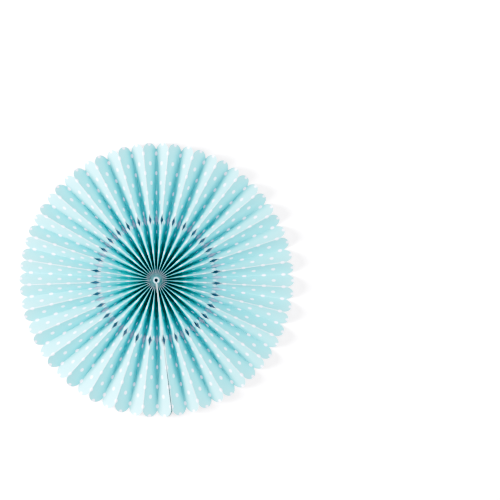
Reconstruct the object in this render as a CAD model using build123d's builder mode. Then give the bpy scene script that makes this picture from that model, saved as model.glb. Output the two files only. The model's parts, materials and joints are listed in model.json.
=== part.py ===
"""Paper fan rosette, lying flat on its back folds.

A strip of card is folded to and fro into narrow panels and opened into a full ring. Every panel keeps
its flat width, so the ring is as thick as one panel at the centre and thinner at the rim, where the folds
spread. The rim of each panel is cut to a scallop, and a diamond is cut across every fold. The two ends of
the strip lap over one panel, where an adhesive strip joins them, and a thread through the inner ends of
the folds keeps the centre closed.

Millimetres, +Z up, the origin on the table under the centre of the ring.
"""
import os
from math import asin, atan, cos, degrees, hypot, pi, radians, sin, sqrt
from build123d import *

# The strip of card
panel_count = 64
panel_width = 30
paper = 0.25

# The opened ring
outer_radius = 210
hole_slack = 0.3
spread_swings = (-1.6, 2.8, -0.8, 0.9)

# The scalloped rim, whose last step ends this share of a step before the tip, and the diamonds on the folds
scallop_depth = 10
scallop_steps = 4
scallop_tip = 0.5
diamond_radius = 92
diamond_length = 17.5
diamond_reach = 9.5

# The lapped seam, stuck together along the inner half and gaping beyond it
seam_azimuth = 276.7
seam_gape = 1
tape_thickness = 0.7
tape_clearance = 0.2
tape_width = 12
tape_inset = 1

# The thread through the inner ends of the folds, straight from hole to hole
thread_radius = 0.35
thread_facets = 8
thread_clearance = 0.2
thread_ring_radius = 9
thread_height = 15

# Flat facets follow the twist of a panel between these rings
inner_spans = 3
outer_spans = 3

# What follows from the sizes above
seam_gap = tape_thickness + 2 * tape_clearance + paper
hole_radius = ((panel_count + 1) * paper + seam_gap - paper) / (2 * pi) + hole_slack
blank_radius = hole_radius - hole_slack / 2
diamond_start = diamond_radius - diamond_length / 2
diamond_end = diamond_radius + diamond_length / 2
notch_radius = outer_radius - scallop_depth
scallop_half_arc = 2 * atan(2 * scallop_depth / panel_width)
scallop_radius = panel_width / 2 / sin(scallop_half_arc)
thread_sides = panel_count // 4
slot_half = thread_radius + thread_clearance
seam_across = Vector(-sin(radians(seam_azimuth)), cos(radians(seam_azimuth)), 0)
up = Vector(0, 0, 1)


def ring_point(crease, radius, unevenness):
    """The place of a crease on a circle: even steps round what the seam leaves, plus an uneven spread."""
    share = crease / panel_count
    seam_half = asin(seam_gap / 2 / radius)
    swing = sum(size * sin(pi * (order + 1) * share) for order, size in enumerate(spread_swings))
    angle = radians(seam_azimuth) + seam_half + share * (2 * pi - 2 * seam_half) + radians(unevenness * swing)
    return Vector(radius * cos(angle), radius * sin(angle), 0)


def crease_point(crease, radius):
    """A crease seen from above is straight from the hole to the rim, and the loose seam pushes it aside."""
    gape = seam_gape * max(0, radius - diamond_end) / (outer_radius - diamond_end)
    if crease < 0:
        return crease_point(crease + panel_count, radius) + seam_across * (seam_gap + gape)
    inner = ring_point(crease, hole_radius, 0)
    outer = ring_point(crease, outer_radius, 1)
    point = inner + (outer - inner) * ((radius - hole_radius) / (outer_radius - hole_radius))
    return point.rotate(Axis.Z, degrees(gape / 2 / radius) * (1 - 2 * crease / panel_count))


def panel_run(panel, radius):
    """How far apart the two creases of a panel are, seen from above."""
    return (crease_point(panel + 1, radius) - crease_point(panel, radius)).length


def crest_height(crease, radius):
    """Height of a front fold that leaves the panels beside it their flat width."""
    after = crease % panel_count
    before = (after - 1) % panel_count
    run = (panel_run(before, radius) + panel_run(after, radius)) / 2
    return sqrt(panel_width**2 - run**2)


def panel_section(panel, radius, bite=0):
    """Six corners of a panel's cut at one radius, shortened by the bite at both of its folds.

    From the back fold: its corner on the table, the lip of its tip, the underside of the front fold, the
    front fold, the lip of that tip, and the top of the back fold.
    """
    back, front = (panel, panel + 1) if panel % 2 else (panel + 1, panel)
    foot = crease_point(back, radius)
    head = crease_point(front, radius)
    height = crest_height(front, radius)
    run = (head - foot).length
    lean = run / hypot(run, height)
    lip = (head - foot) * (paper * (1 - lean) / sqrt(1 - lean**2) / run)
    slope = (head - foot - lip + up * (height - paper)).normalized() * bite
    foot += slope
    head += up * height - slope
    return [foot, foot + lip, head - up * paper, head, head - lip, foot + up * paper]


def facets_between(near, far, sides):
    """Two flat triangles for each side of a section, split so that both faces of the card bend alike."""
    facets = []
    for side in sides:
        a, b = near[side], near[(side + 1) % len(near)]
        c, d = far[(side + 1) % len(far)], far[side]
        halves = [(b, c, d), (b, d, a)] if side < 3 else [(a, b, c), (a, c, d)]
        facets += [Face(Wire.make_polygon(half)) for half in halves]
    return facets


def section_stations():
    """Radius and bite of each section: the plain card, the diamond and the scallop."""
    inner_step = (diamond_start - blank_radius) / inner_spans
    outer_step = (notch_radius - diamond_end) / outer_spans
    stations = [(blank_radius + step * inner_step, 0) for step in range(inner_spans + 1)]
    stations += [(diamond_radius, diamond_reach)]
    stations += [(diamond_end + step * outer_step, 0) for step in range(outer_spans + 1)]
    for step in range(1, scallop_steps + 1):
        arc = scallop_half_arc * (1 - step / (scallop_steps + scallop_tip))
        reach = scallop_radius * (cos(arc) - cos(scallop_half_arc))
        stations += [(notch_radius + reach, panel_width / 2 - scallop_radius * sin(arc))]
    return stations


def panel_facets(panel):
    """The skin of one panel. A fold is left open to the next panel, and closed where the card ends."""
    faces_and_lips = [0, 1, 3, 4]
    head_web, foot_web = 2, 5
    stations = section_stations()
    sections = [panel_section(panel, radius, bite) for radius, bite in stations]
    facets = [Face(Wire.make_polygon(sections[0])), Face(Wire.make_polygon(sections[-1]))]
    for index in range(len(stations) - 1):
        cut = stations[index][1] or stations[index + 1][1]
        sides = list(faces_and_lips)
        if cut or panel == panel_count - 1:
            sides.append(head_web)
        if cut or panel == -1:
            sides.append(foot_web)
        facets += facets_between(sections[index], sections[index + 1], sides)
    return facets


def between(start, end, share):
    """The point that divides a line in a given share."""
    return start + (end - start) * share


def slot_edges(index, share):
    """Foot and head of the slot between the lapped panels at a station, a share of the way across it."""
    radius, bite = section_stations()[index]
    upper = panel_section(panel_count - 1, radius, bite)
    lower = panel_section(-1, radius, bite)
    return between(upper[1], lower[5], share), between(upper[2], lower[4], share)


def tape_section(foot_index, head_index):
    """Four corners of the adhesive strip, which bends with the facets of the card on both sides of it."""
    margin = tape_clearance / (tape_thickness + 2 * tape_clearance)
    top = tape_inset
    bottom = tape_inset + tape_width
    corners = []
    for share, depths in ((margin, (bottom, top)), (1 - margin, (top, bottom))):
        foot = slot_edges(foot_index, share)[0]
        head = slot_edges(head_index, share)[1]
        corners += [head + (foot - head).normalized() * depth for depth in depths]
    return corners


# The folded strip, one solid from its lower lapped end round to its upper one
strip_skin = []
for panel in range(-1, panel_count):
    strip_skin += panel_facets(panel)
strip = Solid(Shell(strip_skin))

with BuildPart() as pleated_sheet:
    add(strip)
    Cylinder(hole_radius, 3 * panel_width, mode=Mode.SUBTRACT)
    with BuildSketch(Plane.XY.offset(thread_height - slot_half)):
        RegularPolygon(thread_ring_radius + slot_half, thread_sides)
        RegularPolygon(thread_ring_radius - slot_half, thread_sides, mode=Mode.SUBTRACT)
    extrude(amount=2 * slot_half, mode=Mode.SUBTRACT)

# The adhesive strip between the lapped panels, from near the hole to the near end of the diamond
tape_sections = []
for index in range(inner_spans):
    tape_sections += [tape_section(index + 1, index), tape_section(index + 1, index + 1)]
tape_skin = []
for near, far in zip(tape_sections, tape_sections[1:]):
    tape_skin += facets_between(near, far, range(4))
for first, second, third, fourth in (tape_sections[0], tape_sections[-1]):
    tape_skin += [Face(Wire.make_polygon(half)) for half in ((first, second, third), (first, third, fourth))]

with BuildPart() as adhesive_strip:
    add(Solid(Shell(tape_skin)))

# The thread that keeps the inner ends of the folds together
thread_places = PolarLocations(thread_ring_radius, thread_sides).local_locations
thread_corners = [place.position + up * thread_height for place in thread_places]
with BuildPart() as binding_thread:
    with BuildLine():
        loop = Polyline(thread_corners, close=True)
    with BuildSketch(Plane(loop @ 0, z_dir=loop % 0)):
        RegularPolygon(thread_radius, thread_facets)
    sweep(path=loop, transition=Transition.RIGHT)

pleated_sheet.part.label = "pleated_sheet"
adhesive_strip.part.label = "adhesive_strip"
binding_thread.part.label = "binding_thread"

os.makedirs("parts", exist_ok=True)
export_step(pleated_sheet.part, "parts/pleated_sheet.step")
export_step(adhesive_strip.part, "parts/adhesive_strip.step")
export_step(binding_thread.part, "parts/binding_thread.step")
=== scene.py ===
# %% [markdown]
# # A paper fan rosette lying on a table
# The real thing is one long strip of printed card, folded to and fro like an accordion and opened until its
# two ends meet. In this lesson the solids from the drawing stay as they are, as the frame that everything
# fits, and each visible piece is laid out again as a smooth surface in the same place, with its print, its
# cut edges and its creases.

import json

import bpy
import numpy as np
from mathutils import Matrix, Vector


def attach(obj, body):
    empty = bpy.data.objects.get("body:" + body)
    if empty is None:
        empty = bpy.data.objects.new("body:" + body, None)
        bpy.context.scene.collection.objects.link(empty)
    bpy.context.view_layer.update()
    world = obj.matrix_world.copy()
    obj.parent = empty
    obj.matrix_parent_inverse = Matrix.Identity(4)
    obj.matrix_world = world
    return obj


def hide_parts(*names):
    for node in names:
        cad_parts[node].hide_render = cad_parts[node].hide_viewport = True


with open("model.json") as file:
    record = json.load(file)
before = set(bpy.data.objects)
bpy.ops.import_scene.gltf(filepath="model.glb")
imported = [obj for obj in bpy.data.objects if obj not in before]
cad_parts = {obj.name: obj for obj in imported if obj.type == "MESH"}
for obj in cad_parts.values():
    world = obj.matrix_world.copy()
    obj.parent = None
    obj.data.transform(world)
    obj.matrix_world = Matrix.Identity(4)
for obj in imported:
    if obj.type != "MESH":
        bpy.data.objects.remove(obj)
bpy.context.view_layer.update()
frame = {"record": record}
mounts = {mount["name"]: mount for mount in frame["record"]["mounts"]}

# %% [markdown]
# ## Sizes of the strip
# A fan like this is set out by very few sizes: the width of a panel, how many panels there are, and the
# radius that the strip reaches. A designer would keep them as named values, so that the folds, the diamonds
# and the scallops all follow. Points on the table are written as complex numbers, x + iy, because turning
# about the centre is then one multiplication.

# %% The sizes, in metres
mm = 0.001
panel_count = 64
panel_width = 30 * mm
card = 0.25 * mm
hole_radius = mounts["centre_hole"]["dims"]["r_mm"] * mm
outer_radius = 210 * mm
spread_swings = np.radians([-1.6, 2.8, -0.8, 0.9])

diamond_radius = 92 * mm
diamond_half = 8.75 * mm
diamond_reach = 9.5 * mm
scallop_depth = 10 * mm

seam_angle = np.radians(276.7)
tape_thickness, tape_clearance = 0.7 * mm, 0.2 * mm
seam_gap = tape_thickness + 2 * tape_clearance + card
seam_gape = 1 * mm
across_seam = 1j * np.exp(1j * seam_angle)

print("panels", panel_count, "hole radius in mm", round(hole_radius / mm, 2))

# %% [markdown]
# ## Where the folds run
# Seen from above every fold is a straight line from the hole to the rim. On a machine-folded fan the spread
# is never quite even, because the paper is stiffer where it is stuck, so the angle gets a few slow sine
# swings on top of equal steps. A separate script fitted their four sizes to fold angles measured in the
# photograph, and they were rounded. The lapped seam takes its own gap out of the full turn first.

# %% Fold lines as complex numbers
def fold_angle(fold, radius, unevenness):
    """Equal steps round the turn that the seam leaves, plus a sum of sines that is zero at the seam."""
    share = fold / panel_count
    seam_half = np.arcsin(seam_gap / 2 / radius)
    orders = np.arange(1, len(spread_swings) + 1)
    swing = (spread_swings * np.sin(np.pi * orders * share[..., None])).sum(-1)
    return seam_angle + seam_half + share * 2 * (np.pi - seam_half) + unevenness * swing


def fold_line(fold, radius):
    """A straight line between a point of the hole and one of the rim, turned a little where the seam gapes.

    A fold below zero is the loose lower end: the last fold moved across the seam.
    """
    diamond_end = diamond_radius + diamond_half
    gape = seam_gape * np.clip((radius - diamond_end) / (outer_radius - diamond_end), 0, None)
    whole = np.where(fold < 0, fold + panel_count, fold)
    inner = hole_radius * np.exp(1j * fold_angle(whole, hole_radius, 0))
    outer = outer_radius * np.exp(1j * fold_angle(whole, outer_radius, 1))
    line = inner + (outer - inner) * (radius - hole_radius) / (outer_radius - hole_radius)
    line = line * np.exp(0.5j * gape / radius * (1 - 2 * whole / panel_count))
    return line + np.where(fold < 0, across_seam * (seam_gap + gape), 0)


print("first folds in degrees", np.round(np.degrees(fold_angle(np.arange(4.0), outer_radius, 1)), 1))

# %% [markdown]
# ## How high the folds stand
# Card bends but doesn't stretch. A panel keeps its flat width, so where the folds stand far apart the ridge
# has to drop: the height is the third side of a right-angled triangle. That is why the fan is thickest at
# its centre and why its face dips towards the rim.

# %% Height of the front folds
def panel_run(panel, radius):
    """Distance between the two folds of a panel, seen from above."""
    return np.abs(fold_line(panel + 1, radius) - fold_line(panel, radius))


def crest_height(fold, radius):
    """Height by the rule of the right-angled triangle, with the mean run of the panels on both sides."""
    after = np.mod(fold, panel_count)
    before = np.mod(after - 1, panel_count)
    run = (panel_run(before, radius) + panel_run(after, radius)) / 2
    return np.sqrt(panel_width**2 - run**2)


print("height at hole and rim in mm",
      np.round(crest_height(np.array([2.0]), np.array([hole_radius, 0.2])) / mm, 1))

# %% [markdown]
# ## Rows along a panel
# The rim of each panel is punched to a scallop, and a diamond is punched through every fold before the strip
# is folded. Holes in a grid are hard to mesh, so the grid is made to follow the cuts instead. Every row has
# a radius and a bite, which says how far the card starts from its fold there. Where the bite is nought, two
# neighbouring panels are joined. Where it isn't, there is a cut edge.

# %% Radius and bite of each row
core_rows, diamond_rows, outer_rows, arc_rows = 19, 9, 14, 10
core_crowding = 1.25
tip_share = 0.11


def rows_of_card():
    """Rows by straight lines and an arc.

    Plain card has rows that crowd towards the hole by a power and are even further out. The bite grows and
    shrinks in a straight line over the diamond, and follows a circular arc at the rim. That arc ends a share
    short of the tip, where a panel would have no width left.
    """
    diamond_start, diamond_end = diamond_radius - diamond_half, diamond_radius + diamond_half
    notch_radius = outer_radius - scallop_depth
    half_arc = 2 * np.arctan(2 * scallop_depth / panel_width)
    arc_radius = panel_width / 2 / np.sin(half_arc)
    core = hole_radius + (diamond_start - hole_radius) * np.linspace(0, 1, core_rows) ** core_crowding
    cut = np.linspace(diamond_start, diamond_end, diamond_rows)[1:-1]
    outer = np.linspace(diamond_end, notch_radius, outer_rows)
    arc = half_arc * np.linspace(1, tip_share, arc_rows)[1:]
    reach = arc_radius * (np.cos(arc) - np.cos(half_arc))
    radius = np.concatenate([core, cut, outer, notch_radius + reach])
    bite = np.concatenate([
        np.zeros(len(core)),
        diamond_reach * (1 - np.abs(cut - diamond_radius) / diamond_half),
        np.zeros(len(outer)),
        panel_width / 2 - arc_radius * np.sin(arc),
    ])
    return radius, bite


row_radius, row_bite = rows_of_card()
print("rows", len(row_radius), "of which cut", int((row_bite > 0).sum()))

# %% [markdown]
# ## The skin of the card
# A crease in card isn't a knife edge. The layers outside the fold stretch over a small round, and the sheet
# keeps its thickness all the way. The surface below is a function of two parameters, the distance from the
# back fold and the radius. Both faces of the card use it, a card's thickness apart, so no modifier is needed
# to give the sheet its body. Each panel also gets a slight bow of its own, as dry card has.

# %% One face of every panel as arrays
fold_round = 0.5 * mm
panels = np.arange(-1, panel_count)
across_steps = np.concatenate([[0, 0.008, 0.022], np.linspace(0.06, 0.94, 8), [0.978, 0.992, 1]])
bow_start, bow_full = 30 * mm, 180 * mm
bow_wave, bow_ripple = 30 * mm, 0.4
bow_random = np.random.default_rng(7)
panel_bow = bow_random.normal(0, 0.22 * mm, len(panels))
bow_phase = bow_random.uniform(0, 2 * np.pi, len(panels))


def fold_blend(distance):
    """One at a fold, falling with a level start to nought where its rounding ends."""
    return np.clip(1 - distance / fold_round, 0, 1) ** 2


def card_face(front):
    """Points of one face, as an array of panels by rows by steps across by 3.

    A straight line from the back fold to the front fold, lowered by a parabola at the front fold and raised
    by one at the back fold. The front face ends a lip short of the fold's middle, and so does the back face
    at the back fold, which is what keeps the sheet as thick in the fold as beside it. The bow is half a sine
    wave across the panel, pushed out at right angles to it, and it ripples slowly along the radius.
    """
    panel = panels[:, None, None].astype(float)
    radius, bite = row_radius[None, :, None], row_bite[None, :, None]
    odd = np.mod(panel, 2) == 1
    back, ridge = np.where(odd, panel, panel + 1), np.where(odd, panel + 1, panel)
    foot, head = fold_line(back, radius), fold_line(ridge, radius)
    height = crest_height(ridge, radius)
    run = np.abs(head - foot)
    sideways = (head - foot) / run
    lean = run / np.hypot(run, height)
    steep = np.sqrt(1 - lean**2)
    lip = card * (1 - lean) / steep
    distance = bite + (panel_width - 2 * bite) * across_steps
    share = distance / panel_width
    ridge_blend = np.where(panel == panel_count - 1, 0, fold_blend(panel_width - distance))
    foot_blend = np.where(panel == -1, 0, fold_blend(distance))
    place = foot + sideways * (share * (run - lip) + (lip * ridge_blend if front else lip * (1 - foot_blend)))
    level = share * (height - card) + (card if front else 0)
    level = level + fold_round / 2 * steep * (foot_blend - ridge_blend)
    spread = np.clip((radius - bow_start) / (bow_full - bow_start), 0, 1)
    wave = np.sin(radius / bow_wave + bow_phase[:, None, None])
    bow = panel_bow[:, None, None] * spread * (1 + bow_ripple * wave) * np.sin(np.pi * share)
    place = place - sideways * steep * bow
    level = level + lean * bow
    return np.stack([place.real, place.imag, level], axis=-1)


front_face, back_face = card_face(True), card_face(False)
print("points on one face", front_face[..., 0].size)

# %% [markdown]
# ## Joining the panels into one closed strip
# Panels share their corner points along a fold wherever it isn't cut. Any edge of the grid that then belongs
# to only one quad is a cut edge of the card: the rim, the hole, the diamonds and the two ends of the strip.
# Those get a narrow wall between the two faces, and the strip is closed like real card.

# %% The strip as one mesh
def joined_points():
    """A number for each grid point. Along an uncut fold the next panel takes over the numbers of the last."""
    number = np.arange(front_face[..., 0].size).reshape(front_face.shape[:3])
    uncut = np.flatnonzero(row_bite == 0)
    for place in range(1, len(panels)):
        side = 0 if panels[place] % 2 else -1
        number[place, uncut, side] = number[place - 1, uncut, side]
    return number


def face_quads(number):
    """Four neighbouring grid numbers each, turned so that they run anticlockwise seen from the front."""
    a, b = number[:, :-1, :-1], number[:, 1:, :-1]
    c, d = number[:, 1:, 1:], number[:, :-1, 1:]
    quads = np.stack([a, b, c, d], axis=-1)
    even = panels % 2 == 0
    quads[even] = quads[even][..., ::-1]
    return quads.reshape(-1, 4)


def open_edges(quads):
    """Directed edges of the quads whose opposite edge is in no quad."""
    edges = np.stack([quads, np.roll(quads, -1, axis=1)], axis=-1).reshape(-1, 2)
    code = edges[:, 0] * (quads.max() + 1) + edges[:, 1]
    opposite = edges[:, 1] * (quads.max() + 1) + edges[:, 0]
    return edges[~np.isin(code, opposite)]


def mesh_object(name, points, quads, sharp_degrees=35):
    """A mesh object at the origin from arrays, smooth but for edges sharper than an angle."""
    mesh = bpy.data.meshes.new(name)
    mesh.vertices.add(len(points))
    mesh.vertices.foreach_set("co", points.astype(np.float32).ravel())
    mesh.loops.add(quads.size)
    mesh.loops.foreach_set("vertex_index", quads.astype(np.int32).ravel())
    mesh.polygons.add(len(quads))
    mesh.polygons.foreach_set("loop_start", np.arange(len(quads), dtype=np.int32) * 4)
    mesh.update(calc_edges=True)
    mesh.shade_smooth()
    mesh.set_sharp_from_angle(angle=np.radians(sharp_degrees))
    piece = bpy.data.objects.new(name, mesh)
    bpy.context.scene.collection.objects.link(piece)
    return piece


def pattern_map(mesh, u, v):
    """Writes one pair of pattern coordinates per point into the mesh's UV map."""
    corner = np.empty(len(mesh.loops), np.int32)
    mesh.loops.foreach_get("vertex_index", corner)
    layer = mesh.uv_layers.new(name="pattern")
    layer.data.foreach_set("uv", np.stack([u[corner], v[corner]], axis=-1).astype(np.float32).ravel())


number = joined_points()
used, packed = np.unique(number, return_inverse=True)
packed = packed.reshape(number.shape)
point_count = len(used)
front_quads = face_quads(packed)
cut = open_edges(front_quads)
wall_quads = np.stack([cut[:, 1], cut[:, 0], cut[:, 0] + point_count, cut[:, 1] + point_count], axis=-1)
sheet_points = np.concatenate([front_face.reshape(-1, 3)[used], back_face.reshape(-1, 3)[used]])
sheet_quads = np.concatenate([front_quads, front_quads[:, ::-1] + point_count, wall_quads])
card_strip = mesh_object("card_strip", sheet_points, sheet_quads)

bite_grid = row_bite[None, :, None]
distance_grid = (bite_grid + (panel_width - 2 * bite_grid) * across_steps) * np.ones((len(panels), 1, 1))
radius_grid = row_radius[None, :, None] * np.ones_like(distance_grid)
dot_pitch = 30 * mm
first_dot_row = 13.5 * mm
strip_u = np.tile(distance_grid.ravel()[used] / panel_width, 2)
strip_v = np.tile((radius_grid.ravel()[used] - first_dot_row) / dot_pitch, 2)
pattern_map(card_strip.data, strip_u, strip_v)
print("quads", len(sheet_quads), "cut edges", len(cut))

# %% [markdown]
# ## The adhesive strip in the seam
# The two ends of the strip lap over one panel, and a double-sided strip holds them. All that shows from the
# front is its long edge, a thin white line down the inner half of the seam. It is a flat band that leans and
# twists with the two cards beside it, so its profile is carried along the radius and set halfway between
# them.

# %% A band between the two lapped panels
tape_half = tape_thickness / 2
tape_top, tape_width = 1 * mm, 12 * mm
tape_nick = 0.15 * mm
tape_start, tape_end = hole_radius + 0.6 * mm, diamond_radius - diamond_half


def seam_band(rows=36):
    """Eight-cornered profile carried along the radius, between the last panel and the loose lower one.

    Each point is the front fold, plus a depth down the panel, plus a share of half the band's thickness
    at right angles to the panel.
    """
    radius = np.linspace(tape_start, tape_end, rows)[:, None]
    last, loose = np.array([[panel_count - 1.0]]), np.array([[-1.0]])
    feet = (fold_line(last, radius) + fold_line(loose, radius)) / 2
    heads = (fold_line(last + 1, radius) + fold_line(loose + 1, radius)) / 2
    height = crest_height(last + 1, radius)
    run = np.abs(heads - feet)
    sideways, lean = (heads - feet) / run, run / np.hypot(run, height)
    steep = np.sqrt(1 - lean**2)
    depth = np.array([tape_top + tape_nick, tape_top, tape_top, tape_top + tape_nick])
    depth = np.concatenate([depth, 2 * tape_top + tape_width - depth[::-1]])
    side = np.array([1, 0.55, -0.55, -1, -1, -0.55, 0.55, 1]) * tape_half
    place = heads - sideways * (depth * lean + side * steep)
    level = height - card / 2 - depth * steep + side * lean
    return np.stack([place.real, place.imag, level + 0 * place.real], axis=-1)


def closed_tube(name, rings, sharp_degrees=35, joined=False):
    """Quads between neighbouring rings of points. The ends are closed with fans of quads, or joined."""
    count, corners = rings.shape[:2]
    number = np.arange(count * corners).reshape(count, corners)
    after = np.roll(number, -1, axis=0) if joined else number[1:]
    before = number if joined else number[:-1]
    quads = np.stack([before, np.roll(before, -1, 1), np.roll(after, -1, 1), after], axis=-1).reshape(-1, 4)
    if not joined:
        low = np.arange(corners // 2 - 1)
        cap = np.stack([low, corners - 1 - low, corners - 2 - low, low + 1], axis=-1)
        quads = np.concatenate([quads, cap, cap[:, ::-1] + number[-1, 0]])
    return mesh_object(name, rings.reshape(-1, 3), quads, sharp_degrees)


seam_tape = closed_tube("seam_tape", seam_band())
print("tape from", np.round(seam_band()[0, 0] / mm, 1), "to", np.round(seam_band()[-1, 0] / mm, 1))

# %% [markdown]
# ## The thread through the inner ends
# Something has to stop the inner ends of the folds from springing apart, and a thread through all of them is
# the usual way. It lies hidden between the panels. A two-ply thread is a tube whose radius swells twice
# round its section, with the swelling turned along its length. It runs straight from hole to hole, so its
# path is a many-sided ring.

# %% A twisted two-ply loop
thread_ring, thread_level = 9 * mm, 15 * mm
thread_radius, thread_swell = 0.33 * mm, 0.18
thread_sides = panel_count // 4


def twisted_loop(steps=320, corners=12, twists=36):
    """Radius of a regular polygon by angle, with a section whose radius swells by a turned cosine."""
    angle = np.linspace(0, 2 * np.pi, steps, endpoint=False)[:, None]
    side = 2 * np.pi / thread_sides
    ring = thread_ring * np.cos(side / 2) / np.cos(np.mod(angle, side) - side / 2)
    around = np.linspace(0, 2 * np.pi, corners, endpoint=False)[None, :]
    swell = thread_radius * (1 - thread_swell + thread_swell * np.cos(2 * around - twists * angle))
    reach = ring + swell * np.cos(around)
    level = thread_level + swell * np.sin(around)
    return np.stack([reach * np.cos(angle), reach * np.sin(angle), level], axis=-1)


core_thread = closed_tube("core_thread", twisted_loop(), 60, joined=True)
print("thread length in mm", round(float(2 * thread_sides * thread_ring / mm * np.sin(np.pi / thread_sides))))

# %% [markdown]
# ## Nodes in plain words
# A material is a small graph. These helpers add one node each and join it up, so that a finish below reads
# like a sentence: take the pattern's coordinates, find the distance to the nearest dot, mix two colours.

# %% Helpers for building finishes
def new_finish(name, roughness):
    """An empty material with a surface shader whose roughness is the same all over."""
    finish = bpy.data.materials.new(name)
    finish.use_nodes = True
    shader = finish.node_tree.nodes["Principled BSDF"]
    shader.inputs["Roughness"].default_value = roughness
    return finish, finish.node_tree, shader


def join(tree, source, socket):
    """Joins an output to a socket, or sets the socket's own value."""
    if isinstance(source, bpy.types.NodeSocket):
        tree.links.new(source, socket)
    else:
        socket.default_value = source


def maths(tree, operation, first, second):
    """One sum, difference or comparison."""
    node = tree.nodes.new("ShaderNodeMath")
    node.operation = operation
    join(tree, first, node.inputs[0])
    join(tree, second, node.inputs[1])
    return node.outputs[0]


def product(tree, first, *others):
    """Several numbers or shares multiplied."""
    for other in others:
        first = maths(tree, "MULTIPLY", first, other)
    return first


def remainder(tree, share):
    """What a share leaves of one."""
    return maths(tree, "SUBTRACT", 1.0, share)


def vector_maths(tree, operation, first, second=(0, 0, 0), output="Vector"):
    """The same for a place or a direction."""
    node = tree.nodes.new("ShaderNodeVectorMath")
    node.operation = operation
    join(tree, first, node.inputs[0])
    join(tree, second, node.inputs[1])
    return node.outputs[output]


def soft_step(tree, value, start, end):
    """Nought before start and one after end, with a smooth ramp between them."""
    node = tree.nodes.new("ShaderNodeMapRange")
    node.interpolation_type = "SMOOTHSTEP"
    join(tree, value, node.inputs["Value"])
    join(tree, start, node.inputs["From Min"])
    join(tree, end, node.inputs["From Max"])
    return node.outputs["Result"]


def noise(tree, scale, detail=3.0, roughness=0.5):
    """Cloudy grey values fixed to the piece, with so many clouds to the metre."""
    where = tree.nodes.new("ShaderNodeTexCoord")
    node = tree.nodes.new("ShaderNodeTexNoise")
    node.inputs["Scale"].default_value = scale
    node.inputs["Detail"].default_value = detail
    node.inputs["Roughness"].default_value = roughness
    tree.links.new(where.outputs["Object"], node.inputs["Vector"])
    return node.outputs["Fac"]


def mix_colours(tree, share, first, second):
    """The first colour where the share is nought and the second where it is one."""
    node = tree.nodes.new("ShaderNodeMix")
    node.data_type = "RGBA"
    join(tree, share, node.inputs["Factor"])
    join(tree, first, node.inputs[6])
    join(tree, second, node.inputs[7])
    return node.outputs[2]


def card_tooth(tree, shader, strength, depth=0.04 * mm):
    """The fine relief of card, from a noise much finer than a dot."""
    node = tree.nodes.new("ShaderNodeBump")
    node.inputs["Strength"].default_value = strength
    node.inputs["Distance"].default_value = depth
    tree.links.new(noise(tree, 2600, 5.0, 0.6), node.inputs["Height"])
    tree.links.new(node.outputs["Normal"], shader.inputs["Normal"])


def either_shader(tree, switch, first, second, output):
    """Joins one of two shaders to the output, the second where the switch is one."""
    node = tree.nodes.new("ShaderNodeMixShader")
    for source, socket in zip((switch, first.outputs[0], second.outputs[0]), node.inputs):
        tree.links.new(source, socket)
    tree.links.new(node.outputs[0], output.inputs["Surface"])


print("helpers ready")

# %% [markdown]
# ## The printed face
# The card is white and its front is printed with a flat aqua that leaves round dots bare. The dots sit in
# staggered rows, on the folds and midway between them. Each point finds its place in a unit cell and takes
# the distance to the cell's corner or to its middle, whichever is nearer. The pattern reads the strip's own
# coordinates, so it folds with the card.

# %% Dots in the strip's own coordinates
dot_radius, dot_blur, dot_raggedness = 3 * mm, 0.1 * mm, 0.3 * mm


def pattern_place(tree):
    """The strip's own coordinates: X across a panel and Y along it."""
    node = tree.nodes.new("ShaderNodeUVMap")
    node.uv_map = "pattern"
    return node.outputs["UV"]


def dot_share(tree, uv):
    """One inside a dot and nought outside, from the nearer of two square grids of points."""
    near = []
    for shift in (0.0, 0.5):
        moved = vector_maths(tree, "ADD", uv, (0.5 + shift, 0.5 + shift, 0))
        cell = vector_maths(tree, "FRACTION", moved)
        offset = vector_maths(tree, "SUBTRACT", cell, (0.5, 0.5, 0))
        near.append(vector_maths(tree, "LENGTH", offset, output="Value"))
    nearest = product(tree, maths(tree, "MINIMUM", *near), dot_pitch)
    ragged = product(tree, maths(tree, "SUBTRACT", noise(tree, 1500), 0.5), dot_raggedness)
    distance = maths(tree, "ADD", nearest, ragged)
    return remainder(tree, soft_step(tree, distance, dot_radius - dot_blur, dot_radius + dot_blur))


print("dots of", dot_radius * 2 / mm, "mm, one every", dot_pitch / mm, "mm")

# %% [markdown]
# ## Folds rubbed bare, and painted shade in the valleys
# Along a fold the ink cracks and the white core of the card shows, most of all in the ring at the hole, where
# the folds are bunched. Further out the whitened crests also serve as a painted highlight. In between, the
# colour gets deeper towards the centre: light that is thrown to and fro between two printed walls takes up
# more of the ink each time. The renderer works out a part of that, and painted shade in the narrow valleys
# and where the folds crowd adds the rest. All of it is laid out by the place on the strip, across a panel and
# along it, so it stays put from every side.

# %% Shares by the place on the strip
bare_ring = 3.9 * mm, 5 * mm
crowded_folds = 10 * mm, 45 * mm
narrow_valleys = 35 * mm, 88 * mm
spread_folds = 25 * mm, 100 * mm
crease_width = 1.1 * mm
# The whitening of the folds is wear, and where the folds spread it is partly a painted highlight.
bunched_wear, spread_wear_and_highlight = 0.8, 0.5
below_crease = 0.6, 0.98
# Strengths of the painted shade, in the valleys and where the folds crowd.
valley_shade_strength, core_shade_strength = 0.8, 0.68


def one_part(tree, place, axis):
    """One of the three numbers of a place."""
    split = tree.nodes.new("ShaderNodeSeparateXYZ")
    tree.links.new(place, split.inputs[0])
    return split.outputs[axis]


def radius_step(tree, uv, start, end):
    """Nought inside one radius and one outside another."""
    rows = [(radius - first_dot_row) / dot_pitch for radius in (start, end)]
    return soft_step(tree, one_part(tree, uv, "Y"), *rows)


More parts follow.
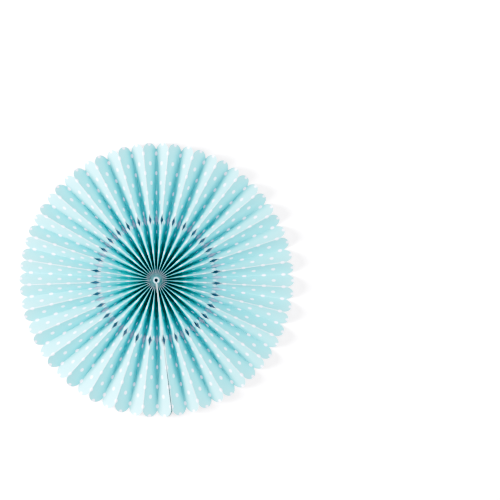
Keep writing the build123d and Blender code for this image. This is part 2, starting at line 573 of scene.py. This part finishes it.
def crease_share(tree, uv):
    """How much of the ink has cracked off, from the distance to the front fold and a patchy noise.

    The folds rub bare where they are bunched round the hole, stay inked where they crowd beside it, and
    whiten again where they spread, where the white crests also serve as a painted highlight.
    """
    width = crease_width / panel_width
    line = soft_step(tree, one_part(tree, uv, "X"), 1 - width, 1 - 0.2 * width)
    patchy = soft_step(tree, noise(tree, 700, 4.0, 0.7), 0.3, 0.6)
    bunched = product(tree, remainder(tree, radius_step(tree, uv, *bare_ring)), bunched_wear)
    # Further out the whitening is wear and partly a painted highlight along the crests.
    spread = product(tree, radius_step(tree, uv, *spread_folds), spread_wear_and_highlight)
    return product(tree, line, patchy, maths(tree, "ADD", bunched, spread))


def valley_painted_shade(tree, uv):
    """How much painted shade a point gets in the narrow valleys of the inner fan: most at their floor, nought
    outside.
    """
    below_ridge = remainder(tree, soft_step(tree, one_part(tree, uv, "X"), *below_crease))
    inner = remainder(tree, radius_step(tree, uv, *narrow_valleys))
    return product(tree, below_ridge, inner, valley_shade_strength)


def core_shade(tree, uv):
    """How much painted shade darkens the colour where the folds crowd, just outside the bare ring at the hole.
    """
    outside_ring = radius_step(tree, uv, *bare_ring)
    crowded = remainder(tree, radius_step(tree, uv, *crowded_folds))
    return product(tree, outside_ring, crowded, core_shade_strength)


print("bare ring, crowded folds, narrow valleys in mm",
      np.round(np.array([bare_ring, crowded_folds, narrow_valleys]) / mm, 1).tolist())

# %% [markdown]
# ## The finish of the front
# The print comes together as it would at the press, ink with a faint cloudiness and dots left bare in it.
# Painted shade deepens both in the valleys and where the folds crowd, and the folds are rubbed bare on top,
# which further out also serves as a painted highlight. The card has a fine tooth, and its ink a slight sheen
# that bare card doesn't have.

# %% Aqua print on white card, with painted shade and highlight
aqua = (0.25, 0.56, 0.61, 1)
thin_aqua = (0.29, 0.60, 0.65, 1)
# Painted shade: the colours that the valleys and the crowded folds near the centre are darkened towards.
valley_shade_aqua = (0.09, 0.43, 0.42, 1)
core_shade_aqua = (0.05, 0.12, 0.13, 1)
bare_card = (0.76, 0.80, 0.92, 1)
shaded_card = (0.36, 0.53, 0.64, 1)


def printed_front():
    """Ink and bare dots, both mixed with painted shade in the valleys, then painted shade where the folds
    crowd, then bare card along the front folds, worn and partly a painted highlight.
    """
    finish, tree, shader = new_finish("printed card", 0.5)
    shader.inputs["Specular IOR Level"].default_value = 0.7
    cloudy = product(tree, noise(tree, 60, 5.0, 0.6), 0.16)
    ink = mix_colours(tree, cloudy, aqua, thin_aqua)
    uv = pattern_place(tree)
    dots = dot_share(tree, uv)
    # depth is painted shade in the narrow valleys of the inner fan.
    depth = valley_painted_shade(tree, uv)
    valley_shaded_ink = mix_colours(tree, depth, ink, valley_shade_aqua)
    valley_shaded_dots = mix_colours(tree, depth, bare_card, shaded_card)
    printed = mix_colours(tree, dots, valley_shaded_ink, valley_shaded_dots)
    # Painted shade where the folds crowd near the centre.
    shaded = mix_colours(tree, core_shade(tree, uv), printed, core_shade_aqua)
    # The front folds rubbed bare: wear, and further out partly a painted highlight.
    worn_and_highlit = mix_colours(tree, crease_share(tree, uv), shaded, bare_card)
    tree.links.new(worn_and_highlit, shader.inputs["Base Color"])
    card_tooth(tree, shader, 0.35, 0.03 * mm)
    return finish


card_strip.data.materials.append(printed_front())
print("ink", aqua[:3], "in the valleys", valley_shade_aqua[:3])

# %% [markdown]
# ## The faces that aren't printed
# The back of the card is bare, and every cut shows its white core. Two places lie in the dark and get painted
# shade: the inside of the hole, where sixty-odd edges stand in a ring about six millimetres wide, and the flap
# under the lap where the seam gapes. Next to the tape that flap shows only its tinted face.

# %% Back, cut edges and flap
gaping_seam = 122 * mm, 148 * mm
# Painted shade: dark inside the hole below its lit top, and on the flap where the seam gapes.
hole_shade_reach = hole_radius + 1 * mm, hole_radius + 2 * mm
lit_top = 27 * mm, 30 * mm
tinted_flap, gape_shade_flap = (0.40, 0.58, 0.60, 1), (0.07, 0.13, 0.13, 1)
hole_painted_shade = (0.02, 0.03, 0.03, 1)


def lapped_flap():
    """The flap's front face: tinted as far as the tape holds it, and painted dark with shade where the seam
    gapes.
    """
    finish, tree, shader = new_finish("flap under the lap", 0.8)
    gaping = radius_step(tree, pattern_place(tree), *gaping_seam)
    tone = mix_colours(tree, gaping, tinted_flap, gape_shade_flap)
    tree.links.new(tone, shader.inputs["Base Color"])
    card_tooth(tree, shader, 0.35, 0.03 * mm)
    return finish


def bare_paper(name, colour, strength):
    """Unprinted card: white with the same fine tooth."""
    finish, tree, shader = new_finish(name, 0.8)
    speckle = product(tree, noise(tree, 300, 6.0, 0.65), 0.12)
    darker = tuple(0.9 * value for value in colour[:3]) + (1,)
    tree.links.new(mix_colours(tree, speckle, colour, darker), shader.inputs["Base Color"])
    card_tooth(tree, shader, strength)
    return finish


def cut_edges():
    """Bare card mixed with a painted black shade inside the hole, by two soft steps, on the distance from the
    axis and on the height.
    """
    finish = bare_paper("cut edge of the card", (0.86, 0.88, 0.90, 1), 0.6)
    tree = finish.node_tree
    shader = tree.nodes["Principled BSDF"]
    where = tree.nodes.new("ShaderNodeTexCoord").outputs["Object"]
    level_place = vector_maths(tree, "MULTIPLY", where, (1, 1, 0))
    axis_distance = vector_maths(tree, "LENGTH", level_place, output="Value")
    outside_hole = soft_step(tree, axis_distance, *hole_shade_reach)
    near_top = soft_step(tree, one_part(tree, where, "Z"), *lit_top)
    lit = maths(tree, "MAXIMUM", outside_hole, near_top)
    card_tone = shader.inputs["Base Color"].links[0].from_socket
    join(tree, mix_colours(tree, lit, hole_painted_shade, card_tone), shader.inputs["Base Color"])
    return finish


card_strip.data.materials.append(bare_paper("bare back of the card", (0.80, 0.84, 0.88, 1), 0.4))
card_strip.data.materials.append(cut_edges())
card_strip.data.materials.append(lapped_flap())
front_slot, back_slot, edge_slot, flap_slot = range(4)
quads_per_panel = len(front_quads) // len(panels)
counts = [len(front_quads), len(front_quads), len(wall_quads)]
slots = np.repeat([front_slot, back_slot, edge_slot], counts).astype(np.int32)
slots[:quads_per_panel] = flap_slot
card_strip.data.polygons.foreach_set("material_index", slots)

seam_tape.data.materials.append(bare_paper("white adhesive strip", (0.94, 0.94, 0.94, 1), 0.3))
core_thread.data.materials.append(bare_paper("white cotton thread", (0.85, 0.86, 0.85, 1), 0.8))
print("finishes", [finish.name for finish in bpy.data.materials])

# %% [markdown]
# ## Each piece takes the place of its solid
# The smooth strip, the band and the thread stand exactly where their solids are, so the plain solids are
# hidden. Nothing moves on a fan that lies open, so every piece rides on the one body.

# %% Replace the solids
for piece, node, slot in (
    (card_strip, "pleated_sheet", "card"),
    (seam_tape, "adhesive_strip", "tape"),
    (core_thread, "binding_thread", "thread"),
):
    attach(piece, "root")
    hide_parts(node)

# %% [markdown]
# ## The white table
# The fan lies on a table so white that the photograph shows it without any tone. Here it is a pale floor
# that also glows a little outside the fan: painted light that washes out the fan's shadow there. Under the
# fan, where its card keeps the light off, a painted shadow tones the table instead, which is what shows
# through the diamonds in the valleys. From below it is clear, so the back of the fan can be looked at as well.

# %% Table top, with painted shadow under the fan
under_fan = 120 * mm, 190 * mm
# Painted shadow under the fan, and a painted glow outside it that washes out its shadow.
table_painted_shadow, open_white = (0.34, 0.46, 0.60, 1), (0.93, 0.93, 0.93, 1)
table_painted_glow = 0.55


def table_top(half=4.0):
    """One large square at height nought, with a painted shadow under the fan and a painted glow outside it, by
    a soft step on the distance from its middle.
    """
    corners = np.array([[-half, -half, 0], [half, -half, 0], [half, half, 0], [-half, half, 0]])
    top = mesh_object("table_top", corners, np.array([[0, 1, 2, 3]]))
    finish, tree, shader = new_finish("white table", 0.9)
    where = tree.nodes.new("ShaderNodeTexCoord")
    distance = vector_maths(tree, "LENGTH", where.outputs["Object"], output="Value")
    open_table = soft_step(tree, distance, *under_fan)
    tone = mix_colours(tree, open_table, table_painted_shadow, open_white)
    tree.links.new(tone, shader.inputs["Base Color"])
    shader.inputs["Emission Color"].default_value = (1, 1, 1, 1)
    tree.links.new(product(tree, open_table, table_painted_glow), shader.inputs["Emission Strength"])
    side, clear = tree.nodes.new("ShaderNodeNewGeometry"), tree.nodes.new("ShaderNodeBsdfTransparent")
    either_shader(tree, side.outputs["Backfacing"], shader, clear, tree.nodes["Material Output"])
    top.data.materials.append(finish)
    return top


table = table_top()

# %% [markdown]
# ## Soft studio light
# A broad window on the left does most of the work: the left-hand slopes are pale and the right-hand ones
# deeper. Pale walls and a pale ceiling throw weaker light back from the other sides, and the room adds a
# little from everywhere, while its far wall shows as pale as the table. Lamps about half as large as they
# are far away give the soft shadows of such a room. The powers, and the plain ink of the card, started
# from a fit that a separate script made to the tones of the photograph, and were then changed by hand.

# %% Four lamps and a pale room
cool_white = (0.98, 0.97, 1)


def soft_light(name, place, size, power):
    """A square lamp that faces the fan, with its size in metres and its power in watts."""
    lamp = bpy.data.lights.new(name, "AREA")
    lamp.size, lamp.energy, lamp.color = size, power, cool_white
    holder = bpy.data.objects.new(name, lamp)
    holder.location = place
    holder.rotation_euler = (-Vector(place)).to_track_quat("-Z", "Y").to_euler()
    bpy.context.scene.collection.objects.link(holder)


def pale_room(light, wall):
    """A world that lights with one strength and stands behind the table as a wall of another."""
    world = bpy.data.worlds.new("pale room")
    world.use_nodes = True
    tree = world.node_tree
    lighting, seen = tree.nodes["Background"], tree.nodes.new("ShaderNodeBackground")
    for shader, strength in ((lighting, light), (seen, wall)):
        shader.inputs["Color"].default_value = cool_white + (1,)
        shader.inputs["Strength"].default_value = strength
    path = tree.nodes.new("ShaderNodeLightPath")
    either_shader(tree, path.outputs["Is Camera Ray"], lighting, seen, tree.nodes["World Output"])
    bpy.context.scene.world = world


soft_light("window on the left", (-1.72, 0.05, 1.2), 1.0, 162)
soft_light("pale wall on the right", (1.72, -0.05, 1.2), 1.2, 50)
soft_light("pale ceiling", (-0.1, 0, 2.0), 1.2, 27)
soft_light("pale wall at the far side", (0, 1.72, 1.2), 1.2, 10)
pale_room(light=0.07, wall=2.6)
print("lamps", [lamp.name for lamp in bpy.data.lights])

# %% [markdown]
# ## A film curve
# A camera doesn't show light in proportion. It deepens the shadows, keeps the middle tones apart and rounds
# off the highlights. Blender's colour management does the same with one curve for each colour. In the
# shadows red stays down longest, which turns the valleys a deep green-blue, and from there up the three
# curves run together, so that white stays white. The points weren't chosen one by one: the same fit gave
# them, and they were then retouched, rounded and given one shared upper part.

# %% One curve for each colour
white_light = 2.9
dark_levels = (0.03, 0.08, 0.16)
dark_shown = {"red": (0, 0.01, 0.11), "green": (0.01, 0.035, 0.13), "blue": (0.01, 0.03, 0.12)}
bright_curve = ((0.3, 0.29), (0.5, 0.47), (0.8, 0.64), (1.2, 0.77), (2.0, 0.9))


def film_curve():
    """Each level of light up to white is shown at a set brightness, with a smooth curve between them.

    The dark levels have a brightness for each colour, and the others share one.
    """
    view = bpy.context.scene.view_settings
    view.view_transform = "Standard"
    view.use_curve_mapping = True
    view.curve_mapping.white_level = (white_light, white_light, white_light)
    for channel, shown in zip(view.curve_mapping.curves, dark_shown.values()):
        for light, brightness in (*zip(dark_levels, shown), *bright_curve):
            channel.points.new(light / white_light, brightness)
        for point in channel.points:
            point.handle_type = "AUTO_CLAMPED"
    view.curve_mapping.update()


film_curve()
print("white is", white_light, "times a fully lit white")

# %% [markdown]
# ## The camera
# It looks straight down over the middle of the picture, so the fan stands left of its centre. It is high up
# with a long lens, because from close by the folds would lean outwards and hide the valleys behind them.

# %% The camera over the middle of the picture
camera_height = 3.0
picture_width = 0.7655
picture_middle = 0.1422, 0.0458
camera_data = bpy.data.cameras.new("view from above")
camera_data.lens = camera_data.sensor_width * camera_height / picture_width
camera = bpy.data.objects.new("view from above", camera_data)
camera.location = (*picture_middle, camera_height)
bpy.context.scene.collection.objects.link(camera)
bpy.context.scene.camera = camera
print("lens in mm", round(camera_data.lens, 1))
